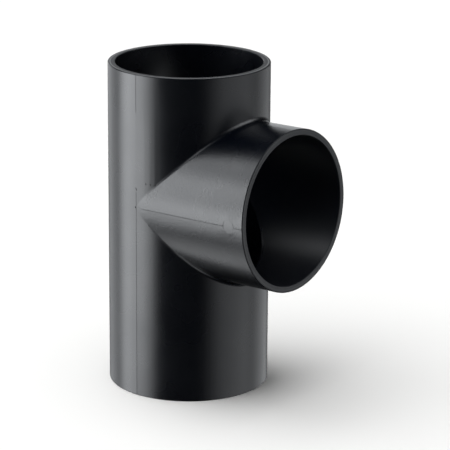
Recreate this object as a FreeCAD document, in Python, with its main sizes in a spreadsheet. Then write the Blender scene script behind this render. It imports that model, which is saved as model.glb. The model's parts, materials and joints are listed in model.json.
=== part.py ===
# Downpipe branch of moulded polyethylene, all in one piece.
#
# A straight run of pipe stands upright and a branch of the same bore leaves its side, rising gently
# outwards. All three ends are plain spigots, cut square for butt welding.
#
# Frame: millimetres, Z up. The origin is the middle of the run's lower end. The branch points along +X,
# and the side with the moulding marks faces -Y.

import FreeCAD, Part
import os

import Sketcher
from FreeCAD import Placement, Rotation, Vector

NODE = "branch_fitting"

# Name, value and meaning of every size that can be set by itself, in millimetres or degrees
SIZES = (
    ("pipe_radius", 55.0, "outer radius of the run, and of the branch at its end"),
    ("run_length", 224.0, "length of the run, end to end"),
    ("run_wall", 4.9, "wall of the run"),
    ("upper_rise", 90.5, "from where the two axes cross up to the top of the run"),
    ("branch_reach", 91.0, "length of the branch from the run's axis, along its own"),
    ("branch_tilt", 1.5, "degrees by which the branch rises outwards from square"),
    ("branch_wall", 4.4, "wall of the branch at its mouth"),
    ("core_taper", 0.6, "radius that the branch's bore loses from its mouth to the run's axis"),
    ("root_swell", 0.2, "radius that the branch gains from its end to its root, as mould draft"),
    ("root_length", 10.0, "length of the root, over which the branch turns back into the run's side"),
    ("root_drop", 0.3, "radius that the branch loses along its root"),
    ("junction_round", 3.0, "radius of the hollow where the branch meets the run"),
    ("rim_break", 0.4, "width of the broken edges of the three ends, outside and inside"),
    ("seam_width", 0.8, "width of the mould lines"),
    ("seam_height", 0.15, "how far the mould lines stand proud"),
    ("seam_depth", 1.0, "how deep the mould lines are rooted in the wall"),
    ("field_rise", 10.5, "from the branch's axis up to the plain field that breaks the front mould line"),
    ("upper_seam", 25.5, "from the plain field up to the top of the run"),
    ("witness_radius", 4.6, "outer radius of the ring that a round mould insert leaves on the branch"),
    ("witness_band", 0.6, "width of that ring"),
    ("witness_depth", 0.15, "depth of that ring"),
    ("witness_back", 11.3, "from the end of the branch to the middle of that ring"),
    ("dot_radius", 0.6, "radius of the moulding dots"),
    ("dot_height", 0.3, "how far the moulding dots stand proud"),
    ("dot_rise", 17.1, "from the branch's axis up to the row of dots"),
    ("dot_start", 8.3, "degrees from the front mould line to the first dot"),
    ("dot_step", 3.7, "degrees from one dot to the next"),
    ("tick_width", 1.8, "width of the small triangle over the lower front mould line"),
    ("tick_gap", 1.2, "gap between that triangle and the line"),
    ("pit_radius", 0.6, "radius of the pit where the mould lines of run and branch meet"),
    ("pit_depth", 0.4, "depth of that pit"),
)
DOTS = 3
FULL_TURN = 360

# Sizes that follow from the others
DERIVED = (
    ("branch_height", "=run_length - upper_rise"),
    ("run_bore", "=pipe_radius - run_wall"),
    ("mouth_bore", "=pipe_radius - branch_wall"),
    ("root_bore", "=mouth_bore - core_taper"),
    ("swell_radius", "=pipe_radius + root_swell"),
    ("root_radius", "=swell_radius - root_drop"),
    ("seam_inner", "=pipe_radius - seam_depth"),
    ("seam_outer", "=pipe_radius + seam_height"),
    ("seam_swell", "=swell_radius + seam_height"),
    ("seam_root", "=root_radius + seam_height"),
    ("seam_angle", "=seam_width / pipe_radius * 180 / pi"),
    ("run_seam_end", "=run_length - rim_break"),
    ("branch_seam_end", "=branch_reach - rim_break"),
    ("field_bottom", "=branch_height + field_rise"),
    ("field_top", "=run_length - upper_seam"),
    ("witness_place", "=branch_reach - witness_back"),
    ("witness_inner", "=witness_radius - witness_band"),
    ("witness_floor", "=pipe_radius - witness_depth"),
    ("witness_near", "=witness_place - witness_radius"),
    ("witness_far", "=witness_place + witness_radius"),
    ("dot_level", "=branch_height + dot_rise"),
    ("dot_top", "=pipe_radius + dot_height"),
    ("tick_level", "=field_bottom + tick_gap"),
    ("tick_top", "=tick_level + tick_width"),
    ("tick_half", "=tick_width / 2"),
    ("pit_floor", "=pipe_radius - pit_depth"),
)

# A sketch's own axes: the one that it faces along, and the one that runs along its left side
FACING = Vector(0, 0, 1)
UPWARD = Vector(0, 1, 0)

doc = FreeCAD.newDocument("downpipe_branch")
sheet = doc.addObject("Spreadsheet::Sheet", "Sizes")
for row, (alias, value, meaning) in enumerate(SIZES, start=1):
    sheet.set("A%d" % row, meaning)
    sheet.set("B%d" % row, str(value))
    sheet.setAlias("B%d" % row, alias)
for row, (alias, formula) in enumerate(DERIVED, start=len(SIZES) + 1):
    sheet.set("B%d" % row, formula)
    sheet.setAlias("B%d" % row, alias)
doc.recompute()

body = doc.addObject("PartDesign::Body", "BranchFitting")
body.Label = NODE
body.Placement = Placement()


def size(alias):
    """The value of a size in the sheet; a minus before its name turns the sign, and None is zero."""
    if alias is None:
        return 0.0
    if alias.startswith("-"):
        return -float(sheet.get(alias[1:]))
    return float(sheet.get(alias))


def origin_item(role):
    """One of the body's own planes or axes, such as XY_Plane or Z_Axis."""
    return next(item for item in body.Origin.OriginFeatures if item.Role == role)


def new_sketch(name, role):
    """An empty sketch on one of the body's planes."""
    sketch = body.newObject("Sketcher::SketchObject", name)
    sketch.AttachmentSupport = [(origin_item(role), "")]
    sketch.MapMode = "FlatFace"
    return sketch


def turn_sketch(sketch, axis, alias):
    """Turn a sketch about one of its own axes by a size of the sheet."""
    sketch.AttachmentOffset = Placement(Vector(), Rotation(axis, size(alias)))
    sketch.setExpression("AttachmentOffset.Rotation.Angle", "Sizes." + alias)


def upright_branch_sketch(name):
    """A sketch in the upright middle plane: x runs out along the branch and y rises square to it."""
    sketch = new_sketch(name, "XZ_Plane")
    turn_sketch(sketch, FACING, "branch_tilt")
    sketch.setExpression("AttachmentOffset.Base.y", "Sizes.branch_height")
    return sketch


def level_branch_sketch(name):
    """A sketch through the branch's axis and both its sides: x runs out along the branch and y is Y."""
    sketch = new_sketch(name, "XY_Plane")
    turn_sketch(sketch, -UPWARD, "branch_tilt")
    sketch.setExpression("AttachmentOffset.Base.z", "Sizes.branch_height")
    return sketch


def hold(sketch, kind, first, second, alias):
    """A distance of the sketch that follows a size of the sheet."""
    index = sketch.addConstraint(Sketcher.Constraint(kind, *first, *second, size(alias)))
    sketch.setExpression("Constraints[%d]" % index, "Sizes." + alias)


def pin(sketch, point, x, y):
    """Hold a point of a sketch at two sizes from its origin; None holds it on the axis."""
    origin = (-1, 1)
    for kind, alias, axis in (("DistanceX", x, -2), ("DistanceY", y, -1)):
        if alias is None:
            sketch.addConstraint(Sketcher.Constraint("PointOnObject", *point, axis))
        elif alias.startswith("-"):
            hold(sketch, kind, point, origin, alias[1:])
        else:
            hold(sketch, kind, origin, point, alias)


def add_circle(sketch, radius, x=None, y=None):
    """A circle with its middle pinned and its radius taken from the sheet."""
    index = sketch.addGeometry(Part.Circle(Vector(size(x), size(y)), FACING, size(radius)))
    pin(sketch, (index, 3), x, y)
    constraint = sketch.addConstraint(Sketcher.Constraint("Radius", index, size(radius)))
    sketch.setExpression("Constraints[%d]" % constraint, "Sizes." + radius)


def add_outline(sketch, corners):
    """A closed outline of straight sides with each corner pinned."""
    points = [Vector(size(x), size(y)) for x, y in corners]
    sides = [sketch.addGeometry(Part.LineSegment(a, b)) for a, b in zip(points, points[1:] + points[:1])]
    for side, following in zip(sides, sides[1:] + sides[:1]):
        sketch.addConstraint(Sketcher.Constraint("Coincident", side, 2, following, 1))
    for side, (x, y) in zip(sides, corners):
        pin(sketch, (side, 1), x, y)


def add_feature(kind, name, **settings):
    """A feature of the body; a setting that is text starting with Sizes follows the sheet."""
    feature = body.newObject("PartDesign::" + kind, name)
    for key, value in settings.items():
        if isinstance(value, str) and value.startswith("Sizes."):
            feature.setExpression(key, value)
        else:
            setattr(feature, key, value)
    doc.recompute()
    return feature


def run_tube():
    """The upright run, still solid."""
    sketch = new_sketch("RunOutline", "XY_Plane")
    add_circle(sketch, "pipe_radius")
    return add_feature("Pad", "RunTube", Profile=sketch, Length="Sizes.run_length")


def branch_tube():
    """The branch, still solid: it swells a little towards the run and turns in again at its root."""
    sketch = upright_branch_sketch("BranchOutline")
    axis_start = Vector()
    root = Vector(0, size("root_radius"))
    swell = Vector(size("root_length"), size("swell_radius"))
    end = Vector(size("branch_reach"), size("pipe_radius"))
    axis_end = Vector(size("branch_reach"), 0)
    # The root's arc passes through its two ends and runs on smoothly into the branch's side
    side_way = (end - swell).normalize()
    chord = root - swell
    across = (chord - side_way * chord.dot(side_way)).normalize()
    arc_radius = chord.dot(chord) / (2 * chord.dot(across))
    centre = swell + across * arc_radius
    halfway = ((root - centre) + (swell - centre)).normalize() * arc_radius + centre
    arc = sketch.addGeometry(Part.Arc(root, halfway, swell))
    side = sketch.addGeometry(Part.LineSegment(swell, end))
    face = sketch.addGeometry(Part.LineSegment(end, axis_end))
    axis = sketch.addGeometry(Part.LineSegment(axis_end, axis_start))
    back = sketch.addGeometry(Part.LineSegment(axis_start, root))
    arc_root, arc_swell = arc_ends(sketch, arc, root)
    sketch.addConstraint(Sketcher.Constraint("Tangent", arc, arc_swell, side, 1))
    sketch.addConstraint(Sketcher.Constraint("Coincident", side, 2, face, 1))
    sketch.addConstraint(Sketcher.Constraint("Coincident", face, 2, axis, 1))
    sketch.addConstraint(Sketcher.Constraint("Coincident", axis, 2, back, 1))
    sketch.addConstraint(Sketcher.Constraint("Coincident", back, 2, arc, arc_root))
    pin(sketch, (back, 1), None, None)
    pin(sketch, (back, 2), None, "root_radius")
    pin(sketch, (side, 1), "root_length", "swell_radius")
    pin(sketch, (side, 2), "branch_reach", "pipe_radius")
    pin(sketch, (axis, 1), "branch_reach", None)
    return add_feature(
        "Revolution", "BranchTube", Profile=sketch, ReferenceAxis=(sketch, ["H_Axis"]), Angle=FULL_TURN,
    )


def arc_ends(sketch, arc, start):
    """The numbers of an arc's two ends, the one at the given point first."""
    at_start = sketch.getPoint(arc, 1).distanceToPoint(start) < sketch.getPoint(arc, 2).distanceToPoint(start)
    return (1, 2) if at_start else (2, 1)


def junction_hollow(tubes):
    """The hollow round where the branch meets the run; it fades out at the two side points."""
    shape = tubes.Shape
    names = [
        "Edge%d" % n for n, edge in enumerate(shape.Edges, 1) if isinstance(edge.Curve, Part.BSplineCurve)
    ]
    return add_feature("Fillet", "JunctionHollow", Base=(tubes, names), Radius="Sizes.junction_round")


def moulding_dots():
    """A row of small dots on the front of the run, beside the mould line."""
    sketch = new_sketch("DotOutline", "XZ_Plane")
    turn_sketch(sketch, UPWARD, "dot_start")
    add_circle(sketch, "dot_radius", None, "dot_level")
    dot = add_feature("Pad", "MouldingDot", Profile=sketch, Length="Sizes.dot_top")
    row = add_feature(
        "PolarPattern", "DotRow", Originals=[dot], Axis=(origin_item("Z_Axis"), [""]), Mode="Spacing",
        Offset="Sizes.dot_step", Occurrences=DOTS,
    )
    body.Tip = row
    return row


def tick():
    """A small triangle that points up, between the lower front mould line and the plain field."""
    sketch = new_sketch("TickOutline", "XZ_Plane")
    add_outline(sketch, (("-tick_half", "tick_level"), ("tick_half", "tick_level"), (None, "tick_top")))
    return add_feature("Pad", "Tick", Profile=sketch, Length="Sizes.dot_top")


def run_bore():
    """The run's bore, right through."""
    sketch = new_sketch("RunBoreOutline", "XY_Plane")
    add_circle(sketch, "run_bore")
    return add_feature("Pocket", "RunBore", Profile=sketch, Type="ThroughAll", Reversed=True)


def branch_bore():
    """The branch's bore, from its mouth to the run's axis, narrowing as the core drew out of it."""
    sketch = upright_branch_sketch("BranchBoreOutline")
    add_outline(
        sketch,
        ((None, None), ("branch_reach", None), ("branch_reach", "mouth_bore"), (None, "root_bore")),
    )
    return add_feature(
        "Groove", "BranchBore", Profile=sketch, ReferenceAxis=(sketch, ["H_Axis"]), Angle=FULL_TURN,
    )


def end_breaks(bored):
    """Broken edges of the three end rings, which are the only flat faces with a hole in them."""
    faces = [
        "Face%d" % n for n, face in enumerate(bored.Shape.Faces, 1)
        if isinstance(face.Surface, Part.Plane) and len(face.Wires) == 2
    ]
    return add_feature("Chamfer", "EndBreaks", Base=(bored, faces), Size="Sizes.rim_break")


def add_seam(name, sketch, axis, stretches):
    """A low bead along a tube: its lengthwise section turned about the tube's axis by the bead's width."""
    for corners in stretches:
        add_outline(sketch, corners)
    return add_feature(
        "Revolution", name, Profile=sketch, ReferenceAxis=(sketch, [axis]), Angle="Sizes.seam_angle",
        Midplane=True,
    )


def bead(side, bottom, top):
    """Lengthwise section of a straight bead on the run; side is a minus or nothing."""
    inner = side + "seam_inner"
    outer = side + "seam_outer"
    return ((inner, bottom), (outer, bottom), (outer, top), (inner, top))


def run_seams():
    """Mould lines of the run: the front one with its break, and the back one."""
    front = new_sketch("FrontSeamOutline", "YZ_Plane")
    add_seam(
        "FrontSeam", front, "V_Axis",
        (bead("-", "rim_break", "field_bottom"), bead("-", "field_top", "run_seam_end")),
    )
    back = new_sketch("BackSeamOutline", "YZ_Plane")
    return add_seam("BackSeam", back, "V_Axis", (bead("", "rim_break", "run_seam_end"),))


def branch_seams():
    """Mould lines along both sides of the branch; the insert's ring breaks the front one."""
    front = level_branch_sketch("BranchFrontSeamOutline")
    before_ring = (
        (None, "-seam_inner"), (None, "-seam_root"), ("root_length", "-seam_swell"),
        ("witness_near", "-seam_outer"), ("witness_near", "-seam_inner"),
    )
    past_ring = (
        ("witness_far", "-seam_inner"), ("witness_far", "-seam_outer"),
        ("branch_seam_end", "-seam_outer"), ("branch_seam_end", "-seam_inner"),
    )
    add_seam("BranchFrontSeam", front, "H_Axis", (before_ring, past_ring))
    back = level_branch_sketch("BranchBackSeamOutline")
    whole = (
        (None, "seam_inner"), (None, "seam_root"), ("root_length", "seam_swell"),
        ("branch_seam_end", "seam_outer"), ("branch_seam_end", "seam_inner"),
    )
    return add_seam("BranchBackSeam", back, "H_Axis", (whole,))


def cut_from_front(name, sketch, floor):
    """Cut a shape out of the front, from a floor at the given distance before the axes outwards."""
    sketch.setExpression("AttachmentOffset.Base.z", "Sizes." + floor)
    return add_feature("Pocket", name, Profile=sketch, Type="ThroughAll", Reversed=True)


def witness_ring():
    """The shallow ring round a mould insert, on the branch's front."""
    sketch = upright_branch_sketch("WitnessOutline")
    add_circle(sketch, "witness_radius", "witness_place")
    add_circle(sketch, "witness_inner", "witness_place")
    return cut_from_front("WitnessRing", sketch, "witness_floor")


def seam_pit():
    """The pit where the front mould lines of run and branch meet."""
    sketch = new_sketch("PitOutline", "XZ_Plane")
    add_circle(sketch, "pit_radius", None, "branch_height")
    return cut_from_front("SeamPit", sketch, "pit_floor")


def check_document():
    """Stop on any object that failed, and on a piece whose shape is missing or broken."""
    doc.recompute()
    for item in doc.Objects:
        if "Invalid" in item.State or "Error" in item.State:
            raise RuntimeError("%s failed to build: %s" % (item.Name, item.State))
    if body.Shape.isNull() or not body.Shape.isValid():
        raise RuntimeError("%s has no sound shape" % body.Label)
    if len(body.Shape.Solids) != 1:
        raise RuntimeError("%s isn't one solid" % body.Label)


run_tube()
tubes = branch_tube()
junction_hollow(tubes)
moulding_dots()
tick()
run_bore()
bored = branch_bore()
end_breaks(bored)
run_seams()
branch_seams()
witness_ring()
seam_pit()
check_document()

os.makedirs("parts", exist_ok=True)
body.Shape.exportStep("parts/%s.step" % body.Label)
print("%s: %.1f cubic centimetres" % (body.Label, body.Shape.Volume / 1000))
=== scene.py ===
"""Downpipe branch of moulded black polyethylene, standing on a pale studio floor."""

import json
import math

import bmesh
import bpy
from mathutils import Matrix, Vector


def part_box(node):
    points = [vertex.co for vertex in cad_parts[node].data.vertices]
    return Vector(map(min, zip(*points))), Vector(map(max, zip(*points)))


bl_info = {
    "name": "Downpipe branch",
    "version": (1, 0, 0),
    "blender": (4, 5, 0),
    "location": "3D View > Sidebar > Downpipe branch",
    "description": "Gives the moulded pipe branch its finish and sets it in a plain studio",
    "category": "Object",
}

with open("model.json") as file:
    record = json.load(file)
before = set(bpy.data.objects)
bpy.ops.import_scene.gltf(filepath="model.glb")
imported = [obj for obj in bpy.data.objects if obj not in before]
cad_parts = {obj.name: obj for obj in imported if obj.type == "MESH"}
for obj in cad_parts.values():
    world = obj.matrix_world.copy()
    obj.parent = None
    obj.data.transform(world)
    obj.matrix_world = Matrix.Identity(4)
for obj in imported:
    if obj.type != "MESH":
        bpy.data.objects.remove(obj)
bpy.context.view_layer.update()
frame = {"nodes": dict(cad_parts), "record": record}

FITTING = "branch_fitting"

# Sizes that part the finishes, in metres. RUN_REACH takes in the run's mould lines, the two bore limits lie
# within the walls, and FACE_DEPTH is how deep the finish of a turned end face goes
PIPE_RADIUS = 0.055
RUN_REACH = 0.0553
RUN_BORE_LIMIT = 0.0515
BORE_LIMIT = 0.053
FACE_DEPTH = 0.0003

# The round insert's mark: from the branch's end to its middle, its radius, and just less than the radius of
# the disc inside it
MARK_BACK = 0.0113
MARK_RADIUS = 0.0046
MARK_DISC = 0.00399

# Typical refraction of polyethylene, and the middle span of a noise that its changes are spread over
POLYETHYLENE_IOR = 1.54
FLOW_SPAN = (0.3, 0.7)
RING_SPAN = (0.35, 0.65)

# The spot of floor inside the run, and the sides of every round patch of floor
SPOT_RADIUS = 0.05
SPOT_HEIGHT = 0.0001
FLOOR_SIDES = 96

# The overhead light is as wide as a ceiling and leans a little; the world only lifts the deepest black
TOP_LIGHT_WIDTH = math.radians(80)
TOP_LIGHT_LEAN = (math.radians(12), math.radians(-14), 0)
WORLD_STRENGTH = 0.01

# The camera's near and far limits
CLIP_START = 0.05
CLIP_END = 50

# Where the branch's end face is; its run from the crossing of the two axes, and the height of that crossing
branch_face = next(m for m in frame["record"]["mounts"] if m["name"] == "branch_weld_face")
BRANCH_TILT = math.atan2(branch_face["axis"][2], branch_face["axis"][0])
BRANCH_REACH = branch_face["pos_m"][0] / math.cos(BRANCH_TILT)
CROSSING_HEIGHT = branch_face["pos_m"][2] - BRANCH_REACH * math.sin(BRANCH_TILT)

# Screens round the fitting that only its gloss shows: name, radius in metres, azimuths from the camera's and
# elevations in degrees, and brightness at the first and last azimuth, low down and then high up. Each one
# fades out over the given share of its width and height, as a cloth does that is lit from behind.
GLOW = "glow"
DAYLIGHT = "#f9fcff"
SCREEN_STEP = 4
FADE = 0.35
GLOSS_SCREENS = (
    ("high_softbox", 3.0, (-104, -68), (-13, 44), ((8.4, 7.0), (8.0, 6.2))),
    ("top_panel", 3.0, (-123, -80), (28, 63), ((2.8, 4.0), (2.8, 4.0))),
    ("upper_front", 3.0, (-75, 0), (20, 52), ((2.0, 2.0), (2.0, 2.0))),
    ("upper_side", 3.0, (40, 120), (0, 60), ((4.5, 4.0), (1.0, 1.0))),
    ("main_softbox", 3.1, (-120, -74), (-34, 4), ((1.4, 4.4), (3.4, 10.6))),
    ("near_softbox", 3.1, (-85, -41), (-29, 6), ((8.0, 0.0), (11.8, 0.4))),
    ("left_panel", 3.2, (-170, -105), (-44, 22), ((0.8, 1.3), (1.1, 0.7))),
    ("low_fill", 3.2, (-142, -54), (-71, -28), ((2.6, 0.0), (3.4, 0.0))),
    ("front_fill", 3.2, (-80, 0), (-80, -36), ((1.4, 1.4), (1.4, 1.4))),
    ("side_panel", 3.4, (17, 121), (-37, 6), ((0.6, 2.8), (0.8, 0.0))),
    ("rear_panel", 3.5, (99, 169), (-40, 8), ((1.9, 1.6), (0.0, 0.0))),
    ("back_softbox", 3.6, (152, 223), (-14, 28), ((0.4, 1.7), (0.6, 3.4))),
)


def linear(hex_colour):
    """An sRGB colour written as #rrggbb, as linear red, green and blue."""
    channels = [int(hex_colour[i : i + 2], 16) / 255 for i in (1, 3, 5)]
    return tuple(c / 12.92 if c <= 0.04045 else ((c + 0.055) / 1.055) ** 2.4 for c in channels)


def add_node(tree, kind, inputs=None, **settings):
    """Add a node; inputs maps a socket to a value, or to the output or the node that feeds it."""
    node = tree.nodes.new(kind)
    for key, value in settings.items():
        setattr(node, key, value)
    for socket, value in (inputs or {}).items():
        if isinstance(value, bpy.types.Node):
            value = next(output for output in value.outputs if output.enabled)
        if isinstance(value, bpy.types.NodeSocket):
            tree.links.new(value, node.inputs[socket])
        else:
            node.inputs[socket].default_value = value
    return node


def new_material(name):
    """An empty node material and its output node."""
    material = bpy.data.materials.new(name)
    material.use_nodes = True
    material.node_tree.nodes.clear()
    output = add_node(material.node_tree, "ShaderNodeOutputMaterial")
    return material, output


class FittingFinish(bpy.types.PropertyGroup):
    """Finish of the moulded fitting."""

    colour: bpy.props.FloatVectorProperty(
        name="Colour",
        description="Colour of the carbon-black polyethylene",
        subtype="COLOR",
        size=3,
        min=0,
        max=1,
        default=linear("#03050b"),
    )
    flow_colour: bpy.props.FloatVectorProperty(
        name="Flow colour",
        description="Colour of the faint flow clouds in the skin",
        subtype="COLOR",
        size=3,
        min=0,
        max=1,
        default=linear("#04070f"),
    )
    roughness: bpy.props.FloatProperty(
        name="Roughness",
        description="Roughness of the smooth moulded skin",
        default=0.28,
        min=0,
        max=1,
        subtype="FACTOR",
    )
    roughness_spread: bpy.props.FloatProperty(
        name="Roughness spread",
        description="How far the roughness goes up and down with the flow clouds",
        default=0.025,
        min=0,
        max=1,
        subtype="FACTOR",
    )
    bore_roughness: bpy.props.FloatProperty(
        name="Bore roughness",
        description="Roughness of the branch's bore, whose core is blasted so that the part comes off it",
        default=0.42,
        min=0,
        max=1,
        subtype="FACTOR",
    )
    faced_roughness: bpy.props.FloatProperty(
        name="Faced roughness",
        description="Roughness of the three turned end faces",
        default=0.45,
        min=0,
        max=1,
        subtype="FACTOR",
    )
    ring_spread: bpy.props.FloatProperty(
        name="Ring spread",
        description="How far the roughness goes up and down from ring to ring on the end faces",
        default=0.15,
        min=0,
        max=1,
        subtype="FACTOR",
    )
    flow_width: bpy.props.FloatProperty(
        name="Flow width",
        description="Width of the flow clouds",
        default=0.03,
        min=0.001,
        unit="LENGTH",
    )
    streak_width: bpy.props.FloatProperty(
        name="Streak width",
        description="Width of the draw streaks that the mould leaves along the run",
        default=0.0022,
        min=0.0001,
        unit="LENGTH",
    )
    streak_length: bpy.props.FloatProperty(
        name="Streak length",
        description="Length of the draw streaks",
        default=0.16,
        min=0.001,
        unit="LENGTH",
    )
    streak_height: bpy.props.FloatProperty(
        name="Streak height",
        description="Height of the draw streaks",
        default=0.00002,
        unit="LENGTH",
    )
    grain_width: bpy.props.FloatProperty(
        name="Grain width",
        description="Size of the spark-eroded grain on the branch",
        default=0.0014,
        min=0.0001,
        unit="LENGTH",
    )
    grain_height: bpy.props.FloatProperty(
        name="Grain height",
        description="Height of the spark-eroded grain on the branch",
        default=0.00009,
        unit="LENGTH",
    )
    lathe_height: bpy.props.FloatProperty(
        name="Lathe line height",
        description="Height of the faint lathe lines round the branch",
        default=0.000006,
        unit="LENGTH",
    )
    turning_pitch: bpy.props.FloatProperty(
        name="Turning pitch",
        description="Spacing of the turning rings on the three end faces and round the branch",
        default=0.0011,
        min=0.0001,
        unit="LENGTH",
    )
    turning_height: bpy.props.FloatProperty(
        name="Turning height",
        description="Height of the turning rings on the three end faces",
        default=0.0002,
        unit="LENGTH",
    )
    seam_width: bpy.props.FloatProperty(
        name="Mould line width",
        description="Width over which the mould lines round off on both sides",
        default=0.0016,
        min=0.0001,
        unit="LENGTH",
    )
    seam_height: bpy.props.FloatProperty(
        name="Mould line height",
        description="Height of the rounding over the mould lines",
        default=0.00008,
        unit="LENGTH",
    )


class StudioStage(bpy.types.PropertyGroup):
    """Floor, backdrop, light and camera."""

    camera_azimuth: bpy.props.FloatProperty(
        name="Camera azimuth",
        description="Turn of the camera round the fitting, from its front towards the branch",
        default=math.radians(39.229),
        subtype="ANGLE",
    )
    camera_elevation: bpy.props.FloatProperty(
        name="Camera elevation",
        description="How steeply the camera looks down",
        default=math.radians(16.779),
        subtype="ANGLE",
    )
    camera_roll: bpy.props.FloatProperty(
        name="Camera roll",
        description="Turn of the camera about its own line of sight",
        default=math.radians(-0.405),
        subtype="ANGLE",
    )
    camera_place: bpy.props.FloatVectorProperty(
        name="Camera place",
        description="Where the camera stands",
        subtype="TRANSLATION",
        unit="LENGTH",
        size=3,
        default=(0.99159, -1.17533, 0.57226),
    )
    lens: bpy.props.FloatProperty(
        name="Lens",
        description="Focal length of the camera",
        default=187.0,
        min=1,
        unit="CAMERA",
    )
    floor_colour: bpy.props.FloatVectorProperty(
        name="Floor colour",
        description="Colour of the pale floor",
        subtype="COLOR",
        size=3,
        min=0,
        max=1,
        default=linear("#fafaf9"),
    )
    floor_radius: bpy.props.FloatProperty(
        name="Floor radius",
        description="Radius of the floor and of the backdrop round it",
        default=4.0,
        unit="LENGTH",
    )
    backdrop_rise: bpy.props.FloatProperty(
        name="Backdrop rise",
        description="Degrees by which the white backdrop rises over the floor's edge, seen from the fitting",
        default=17,
    )
    top_light: bpy.props.FloatProperty(
        name="Top light",
        description="Strength of the wide soft light from above",
        default=3.3,
    )


class BRANCH_OT_finish_fitting(bpy.types.Operator):
    """Give the one-piece fitting its moulded polyethylene finish"""

    bl_idname = "branch.finish_fitting"
    bl_label = "Finish fitting"

    def execute(self, context):
        finish = context.scene.fitting_finish
        fitting = frame["nodes"][FITTING]
        fitting.data.materials.clear()
        fitting.data.materials.append(moulded_polyethylene(finish))
        return {"FINISHED"}


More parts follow.
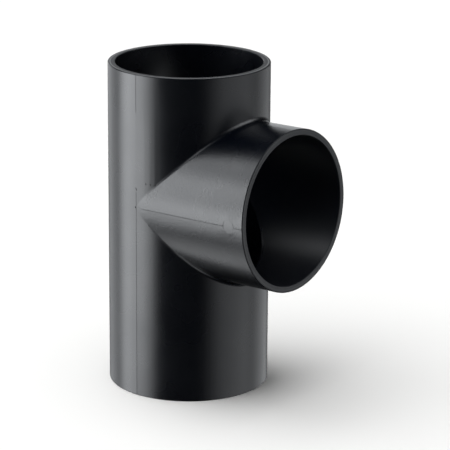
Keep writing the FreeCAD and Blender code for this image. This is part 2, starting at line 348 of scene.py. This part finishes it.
def moulded_polyethylene(finish):
    """Injection-moulded black HDPE.

    Carbon black takes nearly all the diffuse light, so the eye sees the skin's soft waxy sheen. Along the
    run the tool leaves faint draw streaks, the branch carries the fine grain and lathe lines of its turned
    and spark-eroded insert, and the three end faces are turned square, so they are duller and finely ringed.
    The branch's bore comes off a blasted core, which leaves it duller than the skin.
    """
    material, output = new_material("Moulded black HDPE")
    tree = material.node_tree

    # Places in the fitting's axes, and from the crossing with X along the branch; radii round both axes
    place = add_node(tree, "ShaderNodeTexCoord").outputs["Object"]
    crossing = (0, 0, CROSSING_HEIGHT)
    turned = add_node(
        tree,
        "ShaderNodeVectorRotate",
        {"Vector": place, "Center": crossing, "Angle": BRANCH_TILT},
        rotation_type="Y_AXIS",
    )
    from_crossing = add_node(tree, "ShaderNodeVectorMath", {0: turned, 1: crossing}, operation="SUBTRACT")
    level = add_node(tree, "ShaderNodeVectorMath", {0: place, 1: (1, 1, 0)}, operation="MULTIPLY")
    run_radius = add_node(tree, "ShaderNodeVectorMath", {0: level}, operation="LENGTH")
    ahead = add_node(tree, "ShaderNodeVectorMath", {0: from_crossing, 1: (0, 1, 1)}, operation="MINIMUM")
    branch_radius = add_node(tree, "ShaderNodeVectorMath", {0: ahead}, operation="LENGTH")
    height = add_node(tree, "ShaderNodeSeparateXYZ", {0: place}).outputs["Z"]
    along = add_node(tree, "ShaderNodeSeparateXYZ", {0: from_crossing}).outputs["X"]

    # Where each finish is: on the turned end faces, in the bores, and outside on the run and on the branch
    low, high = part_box(FITTING)
    middle = (low[2] + high[2]) / 2
    half = (high[2] - low[2]) / 2 - FACE_DEPTH
    between_ends = add_node(tree, "ShaderNodeMath", {0: height, 1: middle, 2: half}, operation="COMPARE")
    end = BRANCH_REACH - FACE_DEPTH
    short_of_end = add_node(tree, "ShaderNodeMath", {0: along, 1: end}, operation="LESS_THAN")
    on_skin = add_node(tree, "ShaderNodeMath", {0: between_ends, 1: short_of_end}, operation="MULTIPLY")
    on_faces = add_node(tree, "ShaderNodeMath", {0: 1.0, 1: on_skin}, operation="SUBTRACT")
    radius = add_node(tree, "ShaderNodeMath", {0: run_radius, 1: branch_radius}, operation="MINIMUM")
    past_bores = add_node(tree, "ShaderNodeMath", {0: radius, 1: BORE_LIMIT}, operation="GREATER_THAN")
    on_outside = add_node(tree, "ShaderNodeMath", {0: on_skin, 1: past_bores}, operation="MULTIPLY")
    inside = add_node(tree, "ShaderNodeMath", {0: on_skin, 1: on_outside}, operation="SUBTRACT")
    past_run_bore = add_node(
        tree, "ShaderNodeMath", {0: run_radius, 1: RUN_BORE_LIMIT}, operation="GREATER_THAN"
    )
    in_branch = add_node(tree, "ShaderNodeMath", {0: inside, 1: past_run_bore}, operation="MULTIPLY")
    near_run = add_node(tree, "ShaderNodeMath", {0: run_radius, 1: RUN_REACH}, operation="LESS_THAN")
    on_run = add_node(tree, "ShaderNodeMath", {0: on_outside, 1: near_run}, operation="MULTIPLY")
    on_branch = add_node(tree, "ShaderNodeMath", {0: on_outside, 1: on_run}, operation="SUBTRACT")

    # The real grain and tool marks are a tenth of a millimetre wide and less; these are drawn over ten times
    # as coarse, so that they show in a picture of the whole fitting
    stretch = (1 / finish.streak_width, 1 / finish.streak_width, 1 / finish.streak_length)
    drawn = add_node(tree, "ShaderNodeVectorMath", {0: place, 1: stretch}, operation="MULTIPLY")
    streaks = add_node(tree, "ShaderNodeTexNoise", {"Vector": drawn, "Scale": 1.0, "Detail": 2.0})
    grain = add_node(
        tree,
        "ShaderNodeTexNoise",
        {"Vector": place, "Scale": 1 / finish.grain_width, "Detail": 3.0, "Roughness": 0.6},
    )
    lathe_lines = add_node(
        tree,
        "ShaderNodeTexNoise",
        {"W": along, "Scale": 1 / finish.turning_pitch, "Detail": 1.0},
        noise_dimensions="1D",
    )
    ring_radius = add_node(
        tree, "ShaderNodeMix", {"Factor": short_of_end, "A": branch_radius, "B": run_radius}
    )
    rings = add_node(
        tree,
        "ShaderNodeTexNoise",
        {"W": ring_radius, "Scale": 1 / finish.turning_pitch, "Detail": 1.0},
        noise_dimensions="1D",
    )
    # The mould lines along the branch round off on both sides, and stop at the mark of the round insert
    from_level = add_node(tree, "ShaderNodeSeparateXYZ", {0: from_crossing}).outputs["Z"]
    distance = add_node(tree, "ShaderNodeMath", {0: from_level}, operation="ABSOLUTE")
    at_mark = add_node(
        tree, "ShaderNodeMath", {0: along, 1: BRANCH_REACH - MARK_BACK, 2: MARK_RADIUS}, operation="COMPARE"
    )
    off_mark = add_node(tree, "ShaderNodeMath", {0: on_branch, 1: at_mark}, operation="GREATER_THAN")
    mould_line = add_node(
        tree,
        "ShaderNodeMapRange",
        {"Value": distance, "From Max": finish.seam_width / 2, "To Min": 1.0, "To Max": 0.0},
        interpolation_type="SMOOTHSTEP",
    )

    # The ring of the round insert cuts a small disc out of the branch's skin. Its mesh is a plain fan, and
    # flatter than the skin about it, so it is shaded as round as that
    disc_middle = (BRANCH_REACH - MARK_BACK, -PIPE_RADIUS, 0)
    from_disc = add_node(
        tree, "ShaderNodeVectorMath", {0: from_crossing, 1: disc_middle}, operation="DISTANCE"
    )
    on_disc = add_node(tree, "ShaderNodeMath", {0: from_disc, 1: MARK_DISC}, operation="LESS_THAN")
    outward = add_node(tree, "ShaderNodeVectorMath", {0: from_crossing, 1: (0, 1, 1)}, operation="MULTIPLY")
    outward = add_node(
        tree, "ShaderNodeVectorRotate", {"Vector": outward, "Angle": -BRANCH_TILT}, rotation_type="Y_AXIS"
    )
    round_normal = add_node(
        tree,
        "ShaderNodeVectorTransform",
        {"Vector": outward},
        vector_type="NORMAL",
        convert_from="OBJECT",
        convert_to="WORLD",
    )
    mesh_normal = add_node(tree, "ShaderNodeNewGeometry").outputs["Normal"]
    normal = add_node(
        tree,
        "ShaderNodeMix",
        {"Factor": on_disc, "A": mesh_normal, "B": round_normal},
        data_type="VECTOR",
    )
    for pattern, tall, where in (
        (mould_line, finish.seam_height, off_mark),
        (streaks, finish.streak_height, on_run),
        (grain, finish.grain_height, on_branch),
        (lathe_lines, finish.lathe_height, on_branch),
        (rings, finish.turning_height, on_faces),
    ):
        sockets = {"Height": pattern, "Distance": tall, "Strength": where, "Normal": normal}
        normal = add_node(tree, "ShaderNodeBump", sockets)

    # Flow clouds of the cooling melt vary the sheen and the black a little
    flow = add_node(
        tree, "ShaderNodeTexNoise", {"Vector": place, "Scale": 1 / finish.flow_width, "Detail": 2.0}
    )
    skin_roughness = add_node(
        tree,
        "ShaderNodeMapRange",
        {
            "Value": flow,
            "From Min": FLOW_SPAN[0],
            "From Max": FLOW_SPAN[1],
            "To Min": finish.roughness - finish.roughness_spread,
            "To Max": finish.roughness + finish.roughness_spread,
        },
    )
    inner_roughness = add_node(
        tree, "ShaderNodeMix", {"Factor": in_branch, "A": skin_roughness, "B": finish.bore_roughness}
    )
    faced_roughness = add_node(
        tree,
        "ShaderNodeMapRange",
        {
            "Value": rings,
            "From Min": RING_SPAN[0],
            "From Max": RING_SPAN[1],
            "To Min": finish.faced_roughness - finish.ring_spread,
            "To Max": finish.faced_roughness + finish.ring_spread,
        },
    )
    roughness = add_node(
        tree, "ShaderNodeMix", {"Factor": on_faces, "A": inner_roughness, "B": faced_roughness}
    )
    colour = add_node(
        tree,
        "ShaderNodeMix",
        {"Factor": flow, "A": (*finish.colour, 1), "B": (*finish.flow_colour, 1)},
        data_type="RGBA",
    )

    shader = add_node(
        tree,
        "ShaderNodeBsdfPrincipled",
        {"Base Color": colour, "IOR": POLYETHYLENE_IOR, "Roughness": roughness, "Normal": normal},
    )
    tree.links.new(shader.outputs["BSDF"], output.inputs["Surface"])
    return material


class BRANCH_OT_set_studio(bpy.types.Operator):
    """Set up the floor, backdrop, lights and camera"""

    bl_idname = "branch.set_studio"
    bl_label = "Set studio"

    def execute(self, context):
        stage = context.scene.studio_stage
        lay_floor(stage)
        raise_backdrop(stage)
        hang_lights(stage)
        place_camera(stage)
        return {"FINISHED"}


def lay_floor(stage):
    """A round pale floor, and the spot of it inside the run.

    The wide floor is out of the gloss, because the screens stand for what the fitting reflects, but the spot
    closes the bore from below.
    """
    material, output = new_material("Pale matt paint")
    tree = material.node_tree
    shader = add_node(tree, "ShaderNodeBsdfDiffuse", {"Color": (*stage.floor_colour, 1)})
    tree.links.new(shader.outputs["BSDF"], output.inputs["Surface"])
    for name, radius, height in (("floor", stage.floor_radius, 0), ("floor_spot", SPOT_RADIUS, SPOT_HEIGHT)):
        mesh = bpy.data.meshes.new(name)
        shape = bmesh.new()
        bmesh.ops.create_circle(
            shape,
            cap_ends=True,
            segments=FLOOR_SIDES,
            radius=radius,
            matrix=Matrix.Translation((0, 0, height)),
        )
        shape.to_mesh(mesh)
        shape.free()
        mesh.materials.append(material)
        floor = bpy.data.objects.new(name, mesh)
        bpy.context.scene.collection.objects.link(floor)
        floor.visible_glossy = height > 0
        floor.visible_shadow = height > 0


def glowing(name, strength, colour=(1, 1, 1)):
    """A self-lit cloth; strength is a number or the name of a mesh's own attribute.

    The cloth adds its light and lets all other light through, so that screens may stand before each other.
    """
    material, output = new_material(name)
    tree = material.node_tree
    if isinstance(strength, str):
        strength = add_node(tree, "ShaderNodeAttribute", attribute_name=strength).outputs["Fac"]
    glow = add_node(tree, "ShaderNodeEmission", {"Color": (*colour, 1), "Strength": strength})
    clear = add_node(tree, "ShaderNodeBsdfTransparent", {"Color": (1, 1, 1, 1)})
    both = add_node(tree, "ShaderNodeAddShader", {0: glow, 1: clear})
    tree.links.new(both.outputs["Shader"], output.inputs["Surface"])
    return material


def faded(part):
    """How much light is left at a part, from 0 to 1, of the way across a screen."""
    ramp = min(1.0, part / FADE, (1 - part) / FADE)
    return ramp * ramp * (3 - 2 * ramp)


def add_screen(name, radius, azimuths, elevations, brightness, material):
    """Part of a sphere round the fitting, between two azimuths and two elevations in degrees."""
    across = max(2, round(abs(azimuths[1] - azimuths[0]) / SCREEN_STEP))
    upward = max(2, round(abs(elevations[1] - elevations[0]) / SCREEN_STEP))
    mesh = bpy.data.meshes.new(name)
    shape = bmesh.new()
    glow = shape.verts.layers.float.new(GLOW)
    low, high = brightness
    rows = []
    for step in range(across + 1):
        part = step / across
        turn = math.radians(azimuths[0] + (azimuths[1] - azimuths[0]) * part)
        row = []
        for level in range(upward + 1):
            rise = level / upward
            climb = math.radians(elevations[0] + (elevations[1] - elevations[0]) * rise)
            point = shape.verts.new((
                math.sin(turn) * math.cos(climb) * radius,
                -math.cos(turn) * math.cos(climb) * radius,
                math.sin(climb) * radius,
            ))
            first = low[0] + (high[0] - low[0]) * rise
            last = low[1] + (high[1] - low[1]) * rise
            point[glow] = (first + (last - first) * part) * faded(part) * faded(rise)
            row.append(point)
        rows.append(row)
    for row, following in zip(rows, rows[1:]):
        for n in range(upward):
            shape.faces.new((row[n], following[n], following[n + 1], row[n + 1]))
    shape.to_mesh(mesh)
    shape.free()
    mesh.materials.append(material)
    screen = bpy.data.objects.new(name, mesh)
    bpy.context.scene.collection.objects.link(screen)
    return screen


def raise_backdrop(stage):
    """A low white cyclorama all round the floor."""
    white = glowing("White cyclorama", 1.0)
    ring = add_screen(
        "backdrop", stage.floor_radius, (0, 360), (0, stage.backdrop_rise), ((0, 0), (0, 0)), white
    )
    ring.visible_glossy = False


def hang_lights(stage):
    """A wide soft light overhead, and the screens round the fitting that only its gloss shows."""
    world = bpy.data.worlds.new("Dark studio")
    world.use_nodes = True
    world.node_tree.nodes["Background"].inputs["Color"].default_value = (1, 1, 1, 1)
    world.node_tree.nodes["Background"].inputs["Strength"].default_value = WORLD_STRENGTH
    bpy.context.scene.world = world

    top = bpy.data.lights.new("top_light", "SUN")
    top.energy = stage.top_light
    top.angle = TOP_LIGHT_WIDTH
    top_lamp = bpy.data.objects.new("top_light", top)
    top_lamp.rotation_euler = TOP_LIGHT_LEAN
    top_lamp.visible_glossy = False
    bpy.context.scene.collection.objects.link(top_lamp)

    facing = math.degrees(stage.camera_azimuth)
    cloth = glowing("Softbox cloth", GLOW, linear(DAYLIGHT))
    for name, radius, azimuths, elevations, brightness in GLOSS_SCREENS:
        turned = (facing + azimuths[0], facing + azimuths[1])
        screen = add_screen(name, radius, turned, elevations, brightness, cloth)
        screen.visible_camera = False
        screen.visible_diffuse = False
        screen.visible_transmission = False
        screen.visible_volume_scatter = False
        screen.visible_shadow = False


def place_camera(stage):
    """The camera, at the photograph's angle and with its framing."""
    azimuth, elevation, roll = stage.camera_azimuth, stage.camera_elevation, stage.camera_roll
    ahead = Vector((
        -math.sin(azimuth) * math.cos(elevation),
        math.cos(azimuth) * math.cos(elevation),
        -math.sin(elevation),
    ))
    level_right = Vector((math.cos(azimuth), math.sin(azimuth), 0))
    level_down = ahead.cross(level_right)
    right = level_right * math.cos(roll) + level_down * math.sin(roll)
    up = level_right * math.sin(roll) - level_down * math.cos(roll)
    data = bpy.data.cameras.new("camera")
    data.lens = stage.lens
    data.clip_start = CLIP_START
    data.clip_end = CLIP_END
    camera = bpy.data.objects.new("camera", data)
    turn = Matrix((right, up, -ahead)).transposed().to_4x4()
    camera.matrix_world = Matrix.Translation(Vector(stage.camera_place)) @ turn
    bpy.context.scene.collection.objects.link(camera)
    bpy.context.scene.camera = camera


class BRANCH_PT_panel(bpy.types.Panel):
    """Sidebar panel with the fitting's and the studio's settings"""

    bl_idname = "BRANCH_PT_panel"
    bl_label = "Downpipe branch"
    bl_space_type = "VIEW_3D"
    bl_region_type = "UI"
    bl_category = "Downpipe branch"

    def draw(self, context):
        for group, operator in (
            (context.scene.fitting_finish, BRANCH_OT_finish_fitting),
            (context.scene.studio_stage, BRANCH_OT_set_studio),
        ):
            column = self.layout.column()
            for name in group.__annotations__:
                column.prop(group, name)
            column.operator(operator.bl_idname)


CLASSES = (
    FittingFinish,
    StudioStage,
    BRANCH_OT_finish_fitting,
    BRANCH_OT_set_studio,
    BRANCH_PT_panel,
)


def register():
    """Register the classes and the scene's settings."""
    for item in CLASSES:
        bpy.utils.register_class(item)
    bpy.types.Scene.fitting_finish = bpy.props.PointerProperty(type=FittingFinish)
    bpy.types.Scene.studio_stage = bpy.props.PointerProperty(type=StudioStage)


def unregister():
    """Remove the settings and the classes."""
    del bpy.types.Scene.studio_stage
    del bpy.types.Scene.fitting_finish
    for item in reversed(CLASSES):
        bpy.utils.unregister_class(item)


def main():
    """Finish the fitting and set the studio."""
    register()
    bpy.ops.branch.finish_fitting()
    bpy.ops.branch.set_studio()
    bpy.context.scene.view_settings.view_transform = "Standard"


if __name__ == "__main__":
    main()
